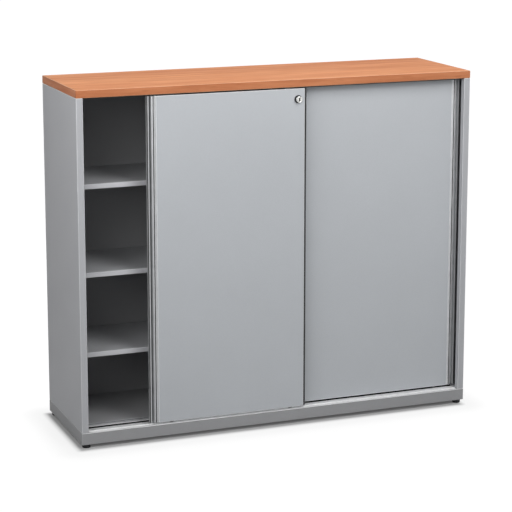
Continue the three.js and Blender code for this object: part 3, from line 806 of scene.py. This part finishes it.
# The slot in front of the rear rib, and the rib's front, are painted black as painted shade, a black
# line along the rail.
SHADE_SHEEN = {"Specular IOR Level": 0.1}
SHADE_DULLNESS = 0.7
RAIL_SLOT_SHADE_BLACK = (0.02, 0.02, 0.02, 1)
SLOT_WIDTH = 0.006
RIB_HALF_WIDTH = 0.0012
RIB_HEIGHT = 0.0028
HAIR = 0.0001
rail_slot_shade = moulded("rail_slot_shade", RAIL_SLOT_SHADE_BLACK, SHADE_DULLNESS, plain=SHADE_SHEEN)
rear_door_low, rear_door_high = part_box("rear_door_panel")
slot_back = (rear_door_low.y + rear_door_high.y) / 2 - RIB_HALF_WIDTH
slot_front = slot_back - SLOT_WIDTH
rail_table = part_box("bottom_rail")[1].z - RIB_HEIGHT


def in_rail_slot(middle, normal):
    """Whether a face lies in the slot, or on the front of the rib that stands above it."""
    in_slot = slot_front - HAIR < middle.y < slot_back + HAIR and middle.z < rail_table - 2 * HAIR
    on_rib = abs(middle.y - slot_back) < HAIR and normal.y < -FACING
    return in_slot or on_rib


repaint(rail, rail_slot_shade, in_rail_slot)


# Door panels
# Two folded steel trays of different widths, 20 mm thick and coated on both sides. Their front faces
# are plain. The narrow one runs in front and carries the lock. The top folds, out of sight under the
# worktop, are painted near black as painted shade, and the bends get a paler copy of the coat as
# painted highlight.
DOOR_GREY = (0.528, 0.55, 0.577, 1)
DOOR_BEND_HIGHLIGHT = (0.76, 0.775, 0.795, 1)
TOP_FOLD_SHADE_BLACK = (0.03, 0.03, 0.032, 1)
DOOR_SHEEN = {"Specular IOR Level": 0.2}
DOOR_BEND_RADIUS = 0.0016
TOP_FOLD_REACH = 0.0003
door_coat = powder_coat("door_coat", DOOR_GREY, dullness=0.40, wave=0.5, sheen=DOOR_SHEEN)
door_bend_highlight = powder_coat("door_coat_bend_highlight", DOOR_BEND_HIGHLIGHT, dullness=0.34, wave=0.0, sheen=DOOR_SHEEN)
top_fold_shade = powder_coat("top_fold_shade", TOP_FOLD_SHADE_BLACK, dullness=0.6, flake=0.02)
for door in ("front_door", "rear_door"):
    tray = softened(
        door + "_panel", door, DOOR_BEND_RADIUS, door_coat, door_bend_highlight, corner=30)
    tray_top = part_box(door + "_panel")[1].z
    repaint(tray, top_fold_shade, lambda middle, normal: (
        normal.z > SQUARELY and middle.z > tray_top - TOP_FOLD_REACH))


# Grip profiles
# Extruded aluminium up the outer edge of each door, anodised satin. Behind its lip runs a deep groove
# for the fingertips, with a round shoulder on its inner side and a narrow slot beside that.
ANODISED = {"Metallic": 0.4}
GRIP_GREY = (0.44, 0.45, 0.46, 1)
# The roundings get a paler copy of the metal as painted highlight, and the rear door's grip a paler copy
# as painted light.
GRIP_EDGE_HIGHLIGHT = (0.72, 0.73, 0.745, 1)
GRIP_REAR_LIT_GREY = (0.71, 0.72, 0.735, 1)
GRIP_RELIEF = 0.000004
GRIP_RADIUS = 0.0006
GRIP_SHARE = 0.3
grip_metal = drawn_metal("grip_metal", GRIP_GREY, dullness=0.42, relief=GRIP_RELIEF, plain=ANODISED)
grip_edge_highlight = drawn_metal(
    "grip_metal_edge_highlight", GRIP_EDGE_HIGHLIGHT, dullness=0.4, relief=GRIP_RELIEF, plain=ANODISED)
grip_rear_lit_metal = drawn_metal(
    "grip_metal_rear_lit", GRIP_REAR_LIT_GREY, dullness=0.4, relief=GRIP_RELIEF, plain=ANODISED)

# The slots, and the floor of the front door's groove, are painted near black as painted shade. The
# spans are measured across a grip from its outer edge, and the depths from its front.
GRIP_HOLLOW_SHADE_BLACK = (0.035, 0.036, 0.038, 1)
LIP_SPAN = 0.0037
GROOVE_SPAN = (0.0034, 0.0083)
GROOVE_FLOOR = (0.0115, 0.0125)
SLOT_SPAN = (0.0151, 0.0181)
SLOT_DEPTH = (0.0008, 0.0045)
LEFT_EDGE, RIGHT_EDGE = range(2)
grip_hollow_shade = moulded("grip_hollow_shade", GRIP_HOLLOW_SHADE_BLACK, SHADE_DULLNESS, plain=SHADE_SHEEN)
grips = (("front_door", LEFT_EDGE, grip_metal), ("rear_door", RIGHT_EDGE, grip_rear_lit_metal))
for door, edge, metal in grips:
    profile = softened(
        door + "_grip", door, GRIP_RADIUS, metal, grip_edge_highlight, share=GRIP_SHARE)
    grip_low, grip_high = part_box(door + "_grip")
    outer = (grip_low, grip_high)[edge].x

    def in_hollow(middle, normal):
        across = abs(middle.x - outer)
        depth = middle.y - grip_low.y
        in_slot = SLOT_SPAN[0] < across < SLOT_SPAN[1] and SLOT_DEPTH[0] < depth < SLOT_DEPTH[1]
        in_groove = GROOVE_SPAN[0] < across < GROOVE_SPAN[1]
        on_floor = in_groove and GROOVE_FLOOR[0] < depth < GROOVE_FLOOR[1] and normal.y < -FACING
        return in_slot or on_floor and edge == LEFT_EDGE

    repaint(profile, grip_hollow_shade, in_hollow)
    # The lips keep the plain, darker metal, without the painted highlight or the rear grip's painted
    # light.
    repaint(profile, grip_metal, lambda middle, normal: abs(middle.x - outer) < LIP_SPAN)


# Seals and buffers
# Strips of black extruded rubber: a ribbed seal pressed into the slot in each grip's end face, and a
# round-nosed buffer along the other edge of each door, which takes the blow against the cabinet's side.
def outline_strip(name, body, outline, low, high, finish):
    """A strip with one outline, a closed list of places in plan, from one height to another."""
    shape = bmesh.new()
    foot = [shape.verts.new((x, y, low)) for x, y in outline]
    shape.faces.new(foot)
    swept = bmesh.ops.extrude_face_region(shape, geom=list(shape.faces))
    for item in swept["geom"]:
        if isinstance(item, bmesh.types.BMVert):
            item.co.z = high
    bmesh.ops.recalc_face_normals(shape, faces=shape.faces)
    mesh = bpy.data.meshes.new(name)
    shape.to_mesh(mesh)
    shape.free()
    mesh.materials.append(finish)
    piece = bpy.data.objects.new(name, mesh)
    scene.collection.objects.link(piece)
    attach(piece, body)


RUBBER_BLACK = (0.016, 0.016, 0.017, 1)
RUBBER_RELIEF = 0.00005
BUFFER_RADIUS = 0.0018
black_rubber = moulded("black_rubber", RUBBER_BLACK, dullness=0.68, relief=RUBBER_RELIEF)
softened(
    "front_door_buffer", "front_door", BUFFER_RADIUS, black_rubber, black_rubber)

SEAL_DEPTH = 0.0016
SEAL_START = 0.0024
SEAL_WIDTH = 0.0082
SEAL_RIBS = 4
SEAL_RIB_DEPTH = 0.0005
SEAL_STEPS = 6
for door, edge in (("front_door", LEFT_EDGE), ("rear_door", RIGHT_EDGE)):
    grip_low, grip_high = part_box(door + "_grip")
    outer = (grip_low, grip_high)[edge].x
    inwards = 1 if edge == LEFT_EDGE else -1
    start = grip_low.y + SEAL_START
    ribbed = []
    for step in range(SEAL_RIBS * SEAL_STEPS + 1):
        share = step / (SEAL_RIBS * SEAL_STEPS)
        sunk = SEAL_RIB_DEPTH * (1 + math.cos(2 * math.pi * SEAL_RIBS * share)) / 2
        ribbed.append((outer + inwards * sunk, start + share * SEAL_WIDTH))
    back = outer + inwards * SEAL_DEPTH
    ribbed += [(back, start + SEAL_WIDTH), (back, start)]
    outline_strip(door + "_seal", door, ribbed, grip_low.z, grip_high.z, black_rubber)

# The rear door's buffer takes its size, and its place on the panel's edge, from the front door's. Its
# nose is two quarter turns, counted in half circles.
NOSE_STEPS = 8
QUARTER_TURN = 0.5
pattern_low, pattern_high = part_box("front_door_buffer")
front_door_low, front_door_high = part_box("front_door_panel")
buffer_root = rear_door_low.x - (pattern_low.x - front_door_high.x)
buffer_front = rear_door_low.y + pattern_low.y - front_door_low.y
buffer_back = buffer_front + pattern_high.y - pattern_low.y
nose_radius = (pattern_high.x - pattern_low.x) / 2
nose_arcs = (
    (buffer_back - nose_radius, QUARTER_TURN),
    (buffer_front + nose_radius, 2 * QUARTER_TURN),
)
nose = [(buffer_root, buffer_front), (buffer_root, buffer_back)]
for centre, turned in nose_arcs:
    for step in range(NOSE_STEPS + 1):
        turn = math.pi * (turned + QUARTER_TURN * step / NOSE_STEPS)
        nose.append((
            buffer_root - nose_radius + nose_radius * math.cos(turn),
            centre + nose_radius * math.sin(turn),
        ))
outline_strip(
    "rear_door_buffer", "rear_door", nose, rear_door_low.z, rear_door_high.z, black_rubber)


# Stiffeners, carriages and guide blocks
# A folded zinc-plated channel stands up the middle of each tray. The carriages and guide blocks are
# grey mouldings that sit on the tray's bottom and top folds.
PLASTIC_GREY = (0.28, 0.285, 0.29, 1)
STIFFENER_BEND_RADIUS = 0.0012
BLOCK_RADIUS = 0.0012
grey_plastic = moulded("grey_plastic", PLASTIC_GREY, dullness=0.5)
for door in ("front_door", "rear_door"):
    softened(
        door + "_stiffener", door, STIFFENER_BEND_RADIUS, zinc_strip, zinc_strip)
    for side in ("left", "right"):
        softened(
            f"{door}_carriage_{side}", door, BLOCK_RADIUS, grey_plastic, grey_plastic,
            corner=30)
        softened(
            f"{door}_guide_{side}", door, BLOCK_RADIUS, grey_plastic, grey_plastic)


# Rollers
# Grooved grey nylon wheels, 16 mm across the groove, moulded in one piece and bored for the axle of
# their carriage. Two of them carry each door along the rail.
ROLLER_EDGE_RADIUS = 0.0005
for door in ("front_door", "rear_door"):
    for side in ("left", "right"):
        roller = f"{door}_roller_{side}"
        softened(
            roller, roller, ROLLER_EDGE_RADIUS, grey_plastic, grey_plastic, corner=30)


# Lock
# A round push lock near the front door's top corner: a black housing with a ring nut behind the sheet,
# a chromed plunger that stands out while the doors are free, and a turning core with its keyway. A
# keeper for the plunger's bolt is fixed to the rear door.
CHROME_GREY = (0.72, 0.72, 0.70, 1)
CHROME_RELIEF = 0.000003
HOUSING_EDGE_RADIUS = 0.0005
NUT_EDGE_RADIUS = 0.0005
PLUNGER_EDGE_RADIUS = 0.0008
CORE_EDGE_RADIUS = 0.0004
KEEPER_BEND_RADIUS = 0.0006
lock_chrome = drawn_metal("lock_chrome", CHROME_GREY, dullness=0.22, relief=CHROME_RELIEF)
softened(
    "lock_housing", "front_door", HOUSING_EDGE_RADIUS, black_plastic, black_plastic,
    corner=30)
softened(
    "lock_nut", "front_door", NUT_EDGE_RADIUS, zinc_strip, zinc_strip, corner=30)
softened(
    "lock_plunger", "lock_plunger", PLUNGER_EDGE_RADIUS, lock_chrome, lock_chrome,
    corner=30)
core = softened(
    "lock_core", "lock_core", CORE_EDGE_RADIUS, lock_chrome, lock_chrome, corner=30)

# Inside the keyway the metal is painted near black, as painted shade.
KEYWAY_SHADE_BLACK = (0.012, 0.011, 0.01, 1)
KEYWAY_HALF_WIDTH = 0.0019
KEYWAY_HALF_HEIGHT = 0.0049
KEYWAY_START = 0.0002
CORE_END = 0.001
keyway_shade = moulded("keyway_shade", KEYWAY_SHADE_BLACK, SHADE_DULLNESS, plain=SHADE_SHEEN)
core_low, core_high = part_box("lock_core")
core_middle = (core_low + core_high) / 2


def in_keyway(middle, normal):
    beside = abs(middle.x - core_middle.x) < KEYWAY_HALF_WIDTH
    between = abs(middle.z - core_middle.z) < KEYWAY_HALF_HEIGHT
    return beside and between and core_low.y + KEYWAY_START < middle.y < core_high.y - CORE_END


repaint(core, keyway_shade, in_keyway)
softened("lock_keeper", "rear_door", KEEPER_BEND_RADIUS, zinc_strip, zinc_strip)


# Levelling feet
# Black moulded pads on threaded studs, one under each corner of the base. Each stud screws into a boss
# that is welded into the base.
FOOT_EDGE_RADIUS = 0.0006
for row in ("front", "rear"):
    for side in ("left", "right"):
        foot = f"foot_{row}_{side}"
        softened(foot, foot, FOOT_EDGE_RADIUS, black_plastic, black_plastic, corner=30)
